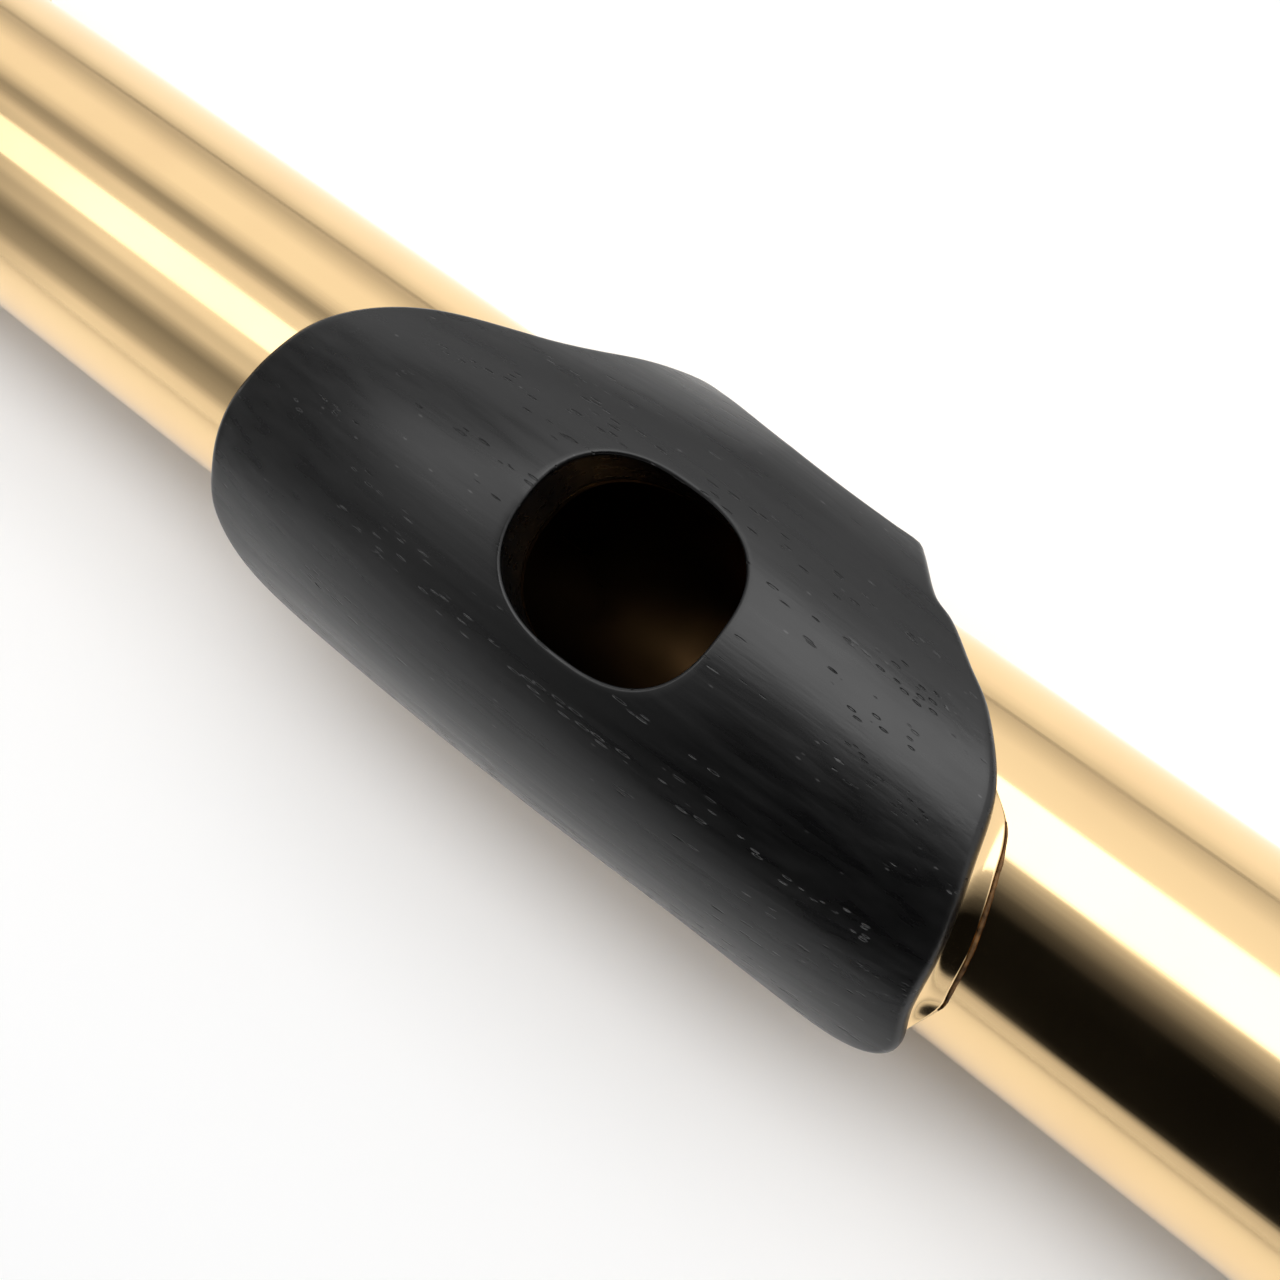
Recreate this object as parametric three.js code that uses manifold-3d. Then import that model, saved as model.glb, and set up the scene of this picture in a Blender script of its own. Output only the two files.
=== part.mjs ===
// Head joint of a concert flute: a tapered gold tube with a grenadilla lip plate on a gold saddle,
// a screw crown, and the cork stopper that the crown draws along the bore.
//
// Millimetres. The tube's axis is X: the crown's flat end is at x = 0 and the tenon points to +X.
// +Z leaves through the embouchure hole, and the player's chin is on the -Y side.

import * as THREE from 'three';
import { mergeVertices } from 'three/addons/utils/BufferGeometryUtils.js';
import Module from 'manifold-3d';

// ---- Driving dimensions ----------------------------------------------------------------------

const TUBE_START = 12;           // where the tube leaves the crown
const HOLE_X = 72;               // middle of the embouchure hole
const TENON_LENGTH = 37;
const TENON_END = 227;
const TUBE_RADIUS_AT_HOLE = 8.98;
const TUBE_TAPER = 0.0078;       // growth of the radius for each millimetre towards the tenon
const TUBE_WALL = 0.4;

const HOLE_HALF_LENGTH = 6.0;    // along the tube
const HOLE_HALF_WIDTH = 5.27;    // across the tube
const HOLE_SQUARENESS = 2.5;     // exponent of the hole's superellipse: 2 is an ellipse
const HOLE_UNDERCUT = 1.05;      // how much wider the hole is where it enters the bore

const PLATE_TOP = 14.1;          // radius of the lip plate's top, from the tube's axis, at the hole
const PLATE_TOP_AT_ENDS = 10.7;
const PLATE_HALF_LENGTH = 23.65;
const PLATE_CENTRE = -0.8;       // middle of the lip plate's top line, from the middle of the hole
const PLATE_CHIN_LEAN = 0.5;     // how far the chin edge's middle lies from that, towards the tenon
const PLATE_FAR_LEAN = 3.4;      // and the far edge's middle
const PLATE_CHIN_TURN = 76;      // degrees that the plate wraps down on the chin side
const PLATE_FAR_TURN = 62;       // degrees that it wraps down on the far side
const PLATE_CHIN_DROP = 1.25;    // how much nearer the axis the chin edge is than the top
const PLATE_FAR_DROP = 0.7;
const PLATE_CHIN_FLARE = 1.5;    // how far the plate's ends stand off from the tube at their sides
const PLATE_FAR_FLARE = 0.3;
const PLATE_DOME = 2.4;          // exponent of the fall from the middle to the ends
const PLATE_FAR_DOME = 1.4;      // the same on the far side, where the fall starts sooner
const PLATE_EDGE = 0.8;          // wood left at the plate's edge
const PLATE_CROWN = 1.9;         // extra wood at its middle
const LINING_WALL = 0.9;         // the wood that lines the hole, down to the tube

const GLUE_GAP = 0.12;
const SOLDER_GAP = 0.1;
const SADDLE_WALL = 0.35;
const SADDLE_INSET = 0.985;      // the saddle's outline, as a share of the wood's
const SADDLE_EAR = 0.7;          // how far its far corner reaches past that, along the tube
const COLLAR_FLARE = 1.4;        // how far the collar's foot runs out along the tube
const COLLAR_CROWN_FLARE = 0.9;  // the same at the crown end
const COLLAR_TURN = 58;          // degrees at which the collar ends on the chin side
const COLLAR_FAR_TURN = 16;      // degrees at which it ends on the far side
const RISER_WALL = 0.5;
const RISER_MARGIN = LINING_WALL + GLUE_GAP;

const CROWN_FACE_RADIUS = 6.6;
const CROWN_RADIUS = 9.0;
const CROWN_BEAD_RADIUS = 9.8;
const CROWN_SKIN = 2.0;          // thickness of the crown's end
const CROWN_BORE = 7.1;
const CROWN_PLUG_RADIUS = 7.85;  // the stretch that turns inside the tube
const CROWN_PLUG_LENGTH = 5;
const CROWN_GAP = 0.2;

const ROD_RADIUS = 3.0;
const THREAD_CLEARANCE = 0.17;
const ROD_START = 5.0;
const STOPPER_FACE = HOLE_X - 17.3;
const STOPPER_PLATE = 1.2;
const CORK_LENGTH = 15.7;
const CORK_CLEARANCE = 0.2;
const PIECE_GAP = 0.12;

const AROUND_PLATE = 56;         // points round the lip plate's outline
const ACROSS_PLATE = 8;          // rings from the hole to the outline
const ROUND_FACETS = 48;
const SMALL_FACETS = 32;

// ---- Materials -------------------------------------------------------------------------------

function metal(colour, roughness) {
  return new THREE.MeshStandardMaterial({ color: colour, roughness, metalness: 1 });
}

function natural(colour, roughness) {
  return new THREE.MeshStandardMaterial({ color: colour, roughness, metalness: 0 });
}

const gold = metal(0xe8c18b, 0.12);
const brass = metal(0xc9a45c, 0.35);
const grenadilla = natural(0x2a2a2b, 0.6);
const corkBark = natural(0xb98a5a, 0.9);

// ---- Solids ----------------------------------------------------------------------------------

const wasm = await Module();
wasm.setup();

const radians = THREE.MathUtils.degToRad;
const blend = THREE.MathUtils.lerp;
const ease = THREE.MathUtils.smoothstep;

function weld(geometry) {
  const bare = geometry.index ? geometry : geometry.clone();
  bare.deleteAttribute('normal');
  bare.deleteAttribute('uv');
  return mergeVertices(bare, 1e-4);
}

function volume(geometry) {
  const at = geometry.getAttribute('position');
  const [a, b, c] = [new THREE.Vector3(), new THREE.Vector3(), new THREE.Vector3()];
  let sum = 0;
  for (let i = 0; i < geometry.index.count; i += 3) {
    a.fromBufferAttribute(at, geometry.index.getX(i));
    b.fromBufferAttribute(at, geometry.index.getX(i + 1));
    c.fromBufferAttribute(at, geometry.index.getX(i + 2));
    sum += a.dot(b.cross(c)) / 6;
  }
  return sum;
}

// Turns every face the other way where the faces point inwards.
function facingOut(geometry) {
  if (volume(geometry) < 0) {
    const list = geometry.index.array;
    for (let i = 0; i < list.length; i += 3) {
      [list[i], list[i + 1]] = [list[i + 1], list[i]];
    }
  }
  geometry.computeVertexNormals();
  return geometry;
}

// A profile of [x, radius] points, turned about the tube's axis.
function turned(profile, facets = ROUND_FACETS) {
  const points = profile.map(([x, radius]) => new THREE.Vector2(radius, x));
  const geometry = new THREE.LatheGeometry(points, facets);
  geometry.rotateZ(-Math.PI / 2);
  return facingOut(weld(geometry));
}

// Closed rings of points, each joined to the next and the last to the first.
function ringSolid(rings) {
  const count = rings[0].length;
  const positions = rings.flat().flatMap((p) => [p.x, p.y, p.z]);
  const faces = [];
  rings.forEach((ring, r) => {
    const here = r * count;
    const next = ((r + 1) % rings.length) * count;
    for (let i = 0; i < count; i++) {
      const j = (i + 1) % count;
      faces.push(here + i, here + j, next + j, here + i, next + j, next + i);
    }
  });
  const geometry = new THREE.BufferGeometry();
  geometry.setAttribute('position', new THREE.Float32BufferAttribute(positions, 3));
  geometry.setIndex(faces);
  return facingOut(geometry);
}

function toManifold(geometry) {
  const vertProperties = new Float32Array(geometry.getAttribute('position').array);
  const triVerts = new Uint32Array(geometry.index.array);
  return new wasm.Manifold(new wasm.Mesh({ numProp: 3, vertProperties, triVerts }));
}

function fromManifold(solid) {
  const mesh = solid.getMesh();
  const geometry = new THREE.BufferGeometry();
  geometry.setAttribute('position', new THREE.Float32BufferAttribute(mesh.vertProperties, 3));
  geometry.setIndex(Array.from(mesh.triVerts));
  return facingOut(geometry);
}

function cut(geometry, tool) {
  return fromManifold(toManifold(geometry).subtract(toManifold(tool)));
}

// ---- The tube --------------------------------------------------------------------------------

const tenonStart = TENON_END - TENON_LENGTH;

function tubeRadius(x) {
  return TUBE_RADIUS_AT_HOLE + TUBE_TAPER * (Math.min(x, tenonStart) - HOLE_X);
}

// The hole's wall in plan: a superellipse, at one angle from the +X direction.
function holePoint(angle, scale = 1, margin = 0) {
  const along = Math.abs(Math.cos(angle) / (HOLE_HALF_LENGTH * scale + margin));
  const across = Math.abs(Math.sin(angle) / (HOLE_HALF_WIDTH * scale + margin));
  const reach = (along ** HOLE_SQUARENESS + across ** HOLE_SQUARENESS) ** (-1 / HOLE_SQUARENESS);
  return new THREE.Vector2(reach * Math.cos(angle), reach * Math.sin(angle));
}

function headTube() {
  const outer = [TUBE_START, tenonStart, TENON_END].map((x) => [x, tubeRadius(x)]);
  const inner = outer.map(([x, radius]) => [x, radius - TUBE_WALL]).reverse();
  const tube = turned([...outer, ...inner, outer[0]]);

  const outline = new THREE.Shape();
  for (let i = 0; i < AROUND_PLATE; i++) {
    const p = holePoint((2 * Math.PI * i) / AROUND_PLATE, HOLE_UNDERCUT);
    if (i === 0) outline.moveTo(p.x, p.y);
    else outline.lineTo(p.x, p.y);
  }
  const opening = new THREE.ExtrudeGeometry(outline, { depth: PLATE_TOP, bevelEnabled: false });
  opening.translate(HOLE_X, 0, 0);
  return cut(tube, facingOut(weld(opening)));
}

// ---- The lip plate, its saddle and the riser ----------------------------------------------------

// The plate's outline, as [millimetres from its middle, degrees down from the top]: from the middle
// of the far edge, round the tenon end, along the chin edge, and back round the crown end.
const PLATE_OUTLINE = [
  [0.3, -52],
  [3.6, -51.8],
  [6.6, -53.1],
  [7.9, -54],
  [8.6, -52],
  [11.7, -41.6],
  [13.2, -39.2],
  [15.8, -32.2],
  [18.1, -25.9],
  [21.2, -11.1],
  [22.5, 7],
  [23.4, 29],
  [23.5, 50],
  [23.5, 66.7],
  [20.9, 75.1],
  [9.8, 71],
  [-0.6, 73.6],
  [-10.1, 76],
  [-20.2, 72.6],
  [-23.3, 61.2],
  [-24, 47.1],
  [-24.1, 28.9],
  [-23.2, 8.4],
  [-21.6, -9.6],
  [-18.4, -25.7],
  [-12.4, -39.2],
  [-10.9, -45.2],
  [-9.3, -56],
  [-8, -61],
  [-6.2, -59.5],
  [-2.1, -54],
];

// Where the plate's middle lies along the tube, from the middle of the hole.
function plateMiddle(turn) {
  const lean = turn > 0 ? PLATE_CHIN_LEAN : PLATE_FAR_LEAN;
  return PLATE_CENTRE + lean * (turn / radians(60)) ** 2;
}

function outlinePoints() {
  const unrolled = PLATE_OUTLINE.map(
    ([along, turn]) => new THREE.Vector3(along, radians(turn) * PLATE_TOP, 0),
  );
  const curve = new THREE.CatmullRomCurve3(unrolled, true, 'centripetal');
  return curve.getSpacedPoints(AROUND_PLATE).slice(0, AROUND_PLATE).map((p) => {
    const turn = p.y / PLATE_TOP;
    return { along: p.x + plateMiddle(turn), turn, angle: Math.atan2(p.y, p.x) };
  });
}

const outline = outlinePoints();

// A point from its distance along the tube past the hole, its turn towards the chin, and its radius.
function polar(along, turn, radius) {
  return new THREE.Vector3(HOLE_X + along, -radius * Math.sin(turn), radius * Math.cos(turn));
}

// 1 over the hole and 0 at the plate's ends.
function dome(along, turn) {
  const share = Math.min(1, Math.abs(along - plateMiddle(turn)) / PLATE_HALF_LENGTH);
  return 1 - share ** blend(PLATE_DOME, PLATE_FAR_DOME, ease(-turn, 0, radians(45)));
}

function plateTop(along, turn) {
  const chinSide = turn > 0;
  const drop = chinSide ? PLATE_CHIN_DROP : PLATE_FAR_DROP;
  const reach = radians(chinSide ? PLATE_CHIN_TURN : PLATE_FAR_TURN);
  const middle = PLATE_TOP - drop * (turn / reach) ** 2;
  const flare = chinSide ? PLATE_CHIN_FLARE : PLATE_FAR_FLARE;
  const end = PLATE_TOP_AT_ENDS + flare * (turn / reach) ** 2;
  return blend(end, middle, dome(along, turn));
}

function plateUnderside(along, turn) {
  const share = Math.abs(turn) / radians(turn > 0 ? PLATE_CHIN_TURN : PLATE_FAR_TURN);
  return plateTop(along, turn) - PLATE_EDGE - PLATE_CROWN * dome(along, turn) * (1 - share ** 2);
}

const saddleTop = (along, turn) => plateUnderside(along, turn) - GLUE_GAP;
const saddleUnderside = (along, turn) => saddleTop(along, turn) - SADDLE_WALL;

// The saddle's own outline: just inside the wood's, but for one far corner that shows past it.
const saddleOutline = outline.map((edge) => {
  const corner = ease(edge.along, 8.4, 9.4) * (1 - ease(edge.along, 10.4, 12.4));
  const ear = SADDLE_EAR * corner * ease(-edge.turn, radians(36), radians(44));
  return { ...edge, along: edge.along * SADDLE_INSET + ear, turn: edge.turn * SADDLE_INSET };
});

// One ring of a skin, a share of the way from the hole's wall to the outline.
function skinRing(share, radiusAt, edges = outline, margin = 0) {
  return edges.map((edge) => {
    const rim = holePoint(edge.angle, 1, margin);
    const rimTurn = Math.asin(rim.y / radiusAt(rim.x, rim.y / PLATE_TOP));
    const along = blend(rim.x, edge.along, share);
    const turn = blend(rimTurn, edge.turn, share);
    return polar(along, turn, radiusAt(along, turn));
  });
}

function shares(count) {
  return Array.from({ length: count + 1 }, (_, i) => i / count);
}

// One ring of the hole's walls: scale is the undercut, and radiusAt the surface that it ends on.
function wallRing(scale, margin, radiusAt) {
  return outline.map((edge) => {
    const p = holePoint(edge.angle, scale, margin);
    const radius = radiusAt(p.x, p.y / PLATE_TOP);
    return new THREE.Vector3(HOLE_X + p.x, -p.y, Math.sqrt(radius ** 2 - p.y ** 2));
  });
}

const onTube = (along) => tubeRadius(HOLE_X + along) + SOLDER_GAP;

function lipPlate() {
  const top = shares(ACROSS_PLATE).map((share) => skinRing(share, plateTop));
  const under = shares(ACROSS_PLATE).reverse()
    .map((share) => skinRing(share, plateUnderside, outline, LINING_WALL));
  const lining = [wallRing(1, LINING_WALL, onTube), wallRing(HOLE_UNDERCUT, 0, onTube)];
  return ringSolid([...top, ...under, ...lining]);
}

// 1 where the saddle runs down to the tube at the plate's ends, 0 where its edge hangs free.
function collarShare(edge) {
  const reach = Math.abs(edge.along - PLATE_CENTRE) / PLATE_HALF_LENGTH;
  const atEnd = ease(reach, 0.82, 0.93);
  const onChinSide = 1 - ease(edge.turn, radians(COLLAR_TURN - 8), radians(COLLAR_TURN + 6));
  const onFarSide = ease(edge.turn, -radians(COLLAR_FAR_TURN + 8), -radians(COLLAR_FAR_TURN - 8));
  return atEnd * onChinSide * onFarSide;
}

// One ring of the saddle's collar: its foot on the tube, or a plain hem where there is no collar.
function collarRing(back, lift, hemDepth) {
  return saddleOutline.map((edge) => {
    const { along, turn } = edge;
    const foot = collarShare(edge);
    const footRadius = tubeRadius(HOLE_X + along) + SOLDER_GAP + lift;
    const hemRadius = saddleTop(along, turn) - hemDepth;
    const flare = (along > 0 ? COLLAR_FLARE : COLLAR_CROWN_FLARE) - back;
    const reach = blend(0.1, flare, foot) * Math.sign(along);
    return polar(along + reach, turn, blend(hemRadius, footRadius, foot));
  });
}

function lipPlateSaddle() {
  const clear = RISER_MARGIN + RISER_WALL + GLUE_GAP;
  const top = shares(ACROSS_PLATE).map((share) => skinRing(share, saddleTop, saddleOutline, clear));
  const under = shares(ACROSS_PLATE).reverse()
    .map((share) => skinRing(share, saddleUnderside, saddleOutline, clear));
  const collar = [collarRing(0, SADDLE_WALL / 2, 0.1), collarRing(0.4, 0, 0.25)];
  return ringSolid([...top, ...collar, ...under]);
}

function riser() {
  const underWood = (along, turn) => plateUnderside(along, turn) - GLUE_GAP;
  const outside = RISER_MARGIN + RISER_WALL;
  return ringSolid([
    wallRing(1, RISER_MARGIN, onTube),
    wallRing(1, RISER_MARGIN, underWood),
    wallRing(1, outside, underWood),
    wallRing(1, outside, onTube),
  ]);
}

// ---- The crown ---------------------------------------------------------------------------------

function bead(x, halfWidth, base, crest) {
  const steps = 4;
  return shares(steps).map((share) => {
    const angle = Math.PI * share;
    return [x - halfWidth * Math.cos(angle), base + (crest - base) * Math.sin(angle)];
  });
}

function crownCap() {
  const shoulder = shares(4).map((share) => {
    const angle = (Math.PI / 2) * share;
    const span = CROWN_RADIUS + 0.35 - CROWN_FACE_RADIUS;
    return [2.6 * (1 - Math.cos(angle)), CROWN_FACE_RADIUS + span * Math.sin(angle)];
  });
  const rim = TUBE_START - CROWN_GAP;
  return turned([
    [0, 0],
    ...shoulder,
    [3.0, CROWN_RADIUS],
    ...bead(4.4, 0.9, CROWN_RADIUS, CROWN_BEAD_RADIUS),
    ...bead(rim - 1.0, 0.9, CROWN_RADIUS, CROWN_BEAD_RADIUS),
    [rim, CROWN_RADIUS],
    [rim, CROWN_PLUG_RADIUS],
    [rim + CROWN_PLUG_LENGTH, CROWN_PLUG_RADIUS],
    [rim + CROWN_PLUG_LENGTH, CROWN_BORE],
    [CROWN_SKIN, CROWN_BORE],
    [CROWN_SKIN, 0],
  ]);
}

function crownBush() {
  const bore = ROD_RADIUS + THREAD_CLEARANCE;
  const flange = CROWN_BORE - PIECE_GAP;
  const start = CROWN_SKIN + PIECE_GAP;
  const hub = 4.6;
  return turned([
    [start, bore],
    [start, flange],
    [start + 3.2, flange],
    [start + 4.0, hub],
    [start + 12.2, hub],
    [start + 12.2, bore],
    [start, bore],
  ], SMALL_FACETS);
}

// ---- The stopper -------------------------------------------------------------------------------

const faceBack = STOPPER_FACE - STOPPER_PLATE;
const corkFront = faceBack - PIECE_GAP;
const corkBack = corkFront - CORK_LENGTH;

function stopperFit(x) {
  return tubeRadius(x) - TUBE_WALL - CORK_CLEARANCE;
}

function stopperFacePlate() {
  const radius = stopperFit(faceBack);
  const chamfer = 0.2;
  return turned([
    [faceBack, 0],
    [faceBack, radius],
    [STOPPER_FACE - chamfer, radius],
    [STOPPER_FACE, radius - chamfer],
    [STOPPER_FACE, 0],
  ]);
}

function stopperCork() {
  const chamfer = 0.4;
  const bore = ROD_RADIUS + THREAD_CLEARANCE;
  return turned([
    [corkBack, bore],
    [corkBack, stopperFit(corkBack) - chamfer],
    [corkBack + chamfer, stopperFit(corkBack)],
    [corkFront, stopperFit(corkBack) + TUBE_TAPER * CORK_LENGTH],
    [corkFront, bore],
    [corkBack, bore],
  ]);
}

function stopperBackPlate() {
  const bore = ROD_RADIUS + THREAD_CLEARANCE;
  const radius = stopperFit(corkBack) - 0.4;
  const front = corkBack - PIECE_GAP;
  const hub = 5;
  return turned([
    [front - 2.6, bore],
    [front - 2.6, hub],
    [front - 1.5, hub],
    [front - 1.5, radius],
    [front, radius],
    [front, bore],
    [front - 2.6, bore],
  ], SMALL_FACETS);
}

function stopperRod() {
  const end = faceBack - PIECE_GAP;
  const chamfer = 0.5;
  return turned([
    [ROD_START, 0],
    [ROD_START, ROD_RADIUS - chamfer],
    [ROD_START + chamfer, ROD_RADIUS],
    [end, ROD_RADIUS],
    [end, 0],
  ], SMALL_FACETS);
}

// ---- Assembly ----------------------------------------------------------------------------------

function named(name, geometry, material) {
  const mesh = new THREE.Mesh(geometry, material);
  mesh.name = name;
  return mesh;
}

function collected(...meshes) {
  const group = new THREE.Group();
  group.add(...meshes);
  return group;
}

const body = collected(
  named('head_tube', headTube(), gold),
  named('riser', riser(), gold),
  named('lip_plate_saddle', lipPlateSaddle(), gold),
  named('lip_plate', lipPlate(), grenadilla),
);

const crown = collected(
  named('crown_cap', crownCap(), gold),
  named('crown_bush', crownBush(), brass),
);

const stopper = collected(
  named('stopper_rod', stopperRod(), brass),
  named('stopper_back_plate', stopperBackPlate(), brass),
  named('stopper_cork', stopperCork(), corkBark),
  named('stopper_face_plate', stopperFacePlate(), gold),
);

const group = collected(body, crown, stopper);

export default group;
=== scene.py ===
import math

import bmesh
import bpy
import numpy as np
from mathutils import Matrix, Vector, noise


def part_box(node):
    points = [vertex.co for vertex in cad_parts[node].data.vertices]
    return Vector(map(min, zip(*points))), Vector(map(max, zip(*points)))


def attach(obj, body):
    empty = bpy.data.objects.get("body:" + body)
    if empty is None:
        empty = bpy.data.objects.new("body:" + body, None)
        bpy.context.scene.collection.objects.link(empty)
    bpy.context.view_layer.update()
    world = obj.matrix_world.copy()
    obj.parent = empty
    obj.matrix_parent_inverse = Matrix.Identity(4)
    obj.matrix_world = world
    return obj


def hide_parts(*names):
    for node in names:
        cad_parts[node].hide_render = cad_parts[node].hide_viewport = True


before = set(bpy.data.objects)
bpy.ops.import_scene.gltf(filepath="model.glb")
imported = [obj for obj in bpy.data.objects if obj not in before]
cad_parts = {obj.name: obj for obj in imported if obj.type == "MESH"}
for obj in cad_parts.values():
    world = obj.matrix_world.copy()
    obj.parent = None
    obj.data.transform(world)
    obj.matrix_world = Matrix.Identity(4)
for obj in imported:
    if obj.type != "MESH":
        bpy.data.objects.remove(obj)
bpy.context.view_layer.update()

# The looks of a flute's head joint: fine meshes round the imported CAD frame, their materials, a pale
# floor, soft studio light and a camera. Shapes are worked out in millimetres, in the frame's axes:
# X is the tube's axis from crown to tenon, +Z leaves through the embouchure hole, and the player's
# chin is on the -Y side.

MM = 0.001


def box(node):
    """The lowest and highest corner of a CAD node, in millimetres."""
    low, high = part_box(node)
    return np.array(low) / MM, np.array(high) / MM


# ---- Dimensions --------------------------------------------------------------------------------

tube_low, tube_high = box("head_tube")
plate_high = box("lip_plate")[1]
riser_low, riser_high = box("riser")
cap_high = box("crown_cap")[1]
bush_low, bush_high = box("crown_bush")
rod_low, rod_high = box("stopper_rod")
cork_low, cork_high = box("stopper_cork")
face_low, face_high = box("stopper_face_plate")
back_low, back_high = box("stopper_back_plate")

TUBE_TAPER = 0.0078              # growth of the tube's radius for each millimetre
TUBE_WALL = 0.4
TENON_LENGTH = 37
TENON_START = tube_high[0] - TENON_LENGTH
HOLE_X = (riser_low[0] + riser_high[0]) / 2

HOLE_HALF_LENGTH = 6.0           # along the tube
HOLE_HALF_WIDTH = 5.27           # across it
HOLE_SQUARENESS = 2.5            # exponent of the hole's superellipse
HOLE_UNDERCUT = 1.05             # how much wider the hole is where it enters the bore

PLATE_TOP = plate_high[2]        # radius of the plate's top from the tube's axis, at the hole
PLATE_TOP_AT_ENDS = 10.7
PLATE_HALF_LENGTH = 23.65
PLATE_CENTRE = -0.8
PLATE_CHIN_LEAN = 0.5            # how far the chin edge's middle lies towards the tenon
PLATE_FAR_LEAN = 3.4
PLATE_CHIN_TURN = 76             # degrees that the plate wraps down on the chin side
PLATE_FAR_TURN = 62
PLATE_CHIN_DROP = 1.25
PLATE_FAR_DROP = 0.7
PLATE_CHIN_FLARE = 1.5
PLATE_FAR_FLARE = 0.3
PLATE_DOME = 2.4
PLATE_FAR_DOME = 1.4
PLATE_EDGE = 0.8                 # wood left at the plate's edge
PLATE_CROWN = 1.9
PLATE_ROUND = 0.5                # radius of the rounding along the plate's edge
RIM_ROUND = 0.2                  # and round the hole's rim

GLUE_GAP = 0.12
SOLDER_GAP = 0.1
SOLDER_BEAD = 0.17               # greatest thickness of the solder line
SOLDER_LEAST = 0.004             # and what is left of it at its ends
SADDLE_WALL = 0.35
SADDLE_INSET = 0.985             # the saddle's outline, as a share of the wood's
SADDLE_EAR = 0.7                 # how far its far corner reaches past that, along the tube
COLLAR_FLARE = 1.4               # how far the collar's foot runs out along the tube
COLLAR_CROWN_FLARE = 0.9         # the same at the crown end
COLLAR_TURN = 58
COLLAR_FAR_TURN = 16
LINING_WALL = 0.9
RISER_WALL = 0.5

ROD_BORE = 3.17                  # radius of the holes that the rod passes through
NUT_HUB = 4.6                    # radius of the crown nut's hub
DISC_HUB = 5.0                   # and of the boss on the disc behind the cork
THREAD_PITCH = 0.8
THREAD_DEPTH = 0.32

AROUND_PLATE = 360               # points in each ring of the lip plate and its saddle
ACROSS_PLATE = 56                # rings from the hole to the plate's edge
ROUND = 192                      # facets of the tube and the crown
ROUND_NUT = 96                   # and of the nuts inside

# The plate's outline: millimetres from its middle, degrees down from the top.
PLATE_OUTLINE = [
    (0.3, -52),
    (3.6, -51.8),
    (6.6, -53.1),
    (7.9, -54),
    (8.6, -52),
    (11.7, -41.6),
    (13.2, -39.2),
    (15.8, -32.2),
    (18.1, -25.9),
    (21.2, -11.1),
    (22.5, 7),
    (23.4, 29),
    (23.5, 50),
    (23.5, 66.7),
    (20.9, 75.1),
    (9.8, 71),
    (-0.6, 73.6),
    (-10.1, 76),
    (-20.2, 72.6),
    (-23.3, 61.2),
    (-24, 47.1),
    (-24.1, 28.9),
    (-23.2, 8.4),
    (-21.6, -9.6),
    (-18.4, -25.7),
    (-12.4, -39.2),
    (-10.9, -45.2),
    (-9.3, -56),
    (-8, -61),
    (-6.2, -59.5),
    (-2.1, -54),
]

# ---- Mesh making -------------------------------------------------------------------------------


def ease(value, low, high):
    """0 below low, 1 above high, and smooth between them."""
    share = np.clip((value - low) / (high - low), 0, 1)
    return share * share * (3 - 2 * share)


def mix(a, b, share):
    return a + (b - a) * share


def make_object(name, points, faces):
    """A closed mesh from points in millimetres, with its faces turned outwards."""
    mesh = bpy.data.meshes.new(name)
    mesh.from_pydata((np.asarray(points) * MM).tolist(), [], faces)
    shape = bmesh.new()
    shape.from_mesh(mesh)
    bmesh.ops.remove_doubles(shape, verts=shape.verts, dist=1e-7)
    bmesh.ops.recalc_face_normals(shape, faces=shape.faces)
    if shape.calc_volume(signed=True) < 0:
        bmesh.ops.reverse_faces(shape, faces=shape.faces)
    shape.to_mesh(mesh)
    shape.free()
    mesh.shade_smooth()
    made = bpy.data.objects.new(name, mesh)
    bpy.context.scene.collection.objects.link(made)
    return made


def ring_object(name, rings):
    """A solid whose section is a closed loop: each ring joins the next, and the last the first."""
    count = len(rings[0])
    faces = []
    for ring in range(len(rings)):
        here = ring * count
        after = ((ring + 1) % len(rings)) * count
        for i in range(count):
            j = (i + 1) % count
            faces.append((here + i, here + j, after + j, after + i))
    return make_object(name, np.concatenate(rings), faces)


def circle(x, radius, count):
    """A ring about the tube's axis. Both x and radius may vary round it."""
    angles = np.linspace(0, 2 * math.pi, count, endpoint=False)
    xs = np.broadcast_to(x, count)
    return np.stack([xs, radius * np.cos(angles), radius * np.sin(angles)], 1)


def turned(name, profile, facets=ROUND, sharp=40):
    """A closed profile of (x, radius) points, turned about the tube's axis."""
    made = ring_object(name, [circle(x, radius, facets) for x, radius in profile])
    made.data.set_sharp_from_angle(angle=math.radians(sharp))
    return made


def rounded(profile, radius, steps=4):
    """The closed profile with every corner off the axis rounded."""
    points = [np.array(point, float) for point in profile]
    result = []
    for i, corner in enumerate(points):
        before = points[i - 1] - corner
        after = points[(i + 1) % len(points)] - corner
        reach = min(radius, np.linalg.norm(before) * 0.45, np.linalg.norm(after) * 0.45)
        if corner[1] < 1e-6:
            result.append(tuple(corner))
            continue
        start = corner + before / np.linalg.norm(before) * reach
        end = corner + after / np.linalg.norm(after) * reach
        for t in np.linspace(0, 1, steps + 1):
            point = (1 - t) ** 2 * start + 2 * t * (1 - t) * corner + t ** 2 * end
            result.append(tuple(point))
    return result


def divided(profile, longest):
    """The closed profile with its long sides cut into equal steps."""
    result = []
    for i, here in enumerate(profile):
        there = profile[(i + 1) % len(profile)]
        steps = max(1, math.ceil(math.dist(here, there) / longest))
        for step in range(steps):
            share = step / steps
            result.append((mix(here[0], there[0], share), mix(here[1], there[1], share)))
    return result


# ---- The tube ----------------------------------------------------------------------------------


def tube_radius(x):
    return tube_high[2] - TUBE_TAPER * (TENON_START - np.minimum(x, TENON_START))


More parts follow.
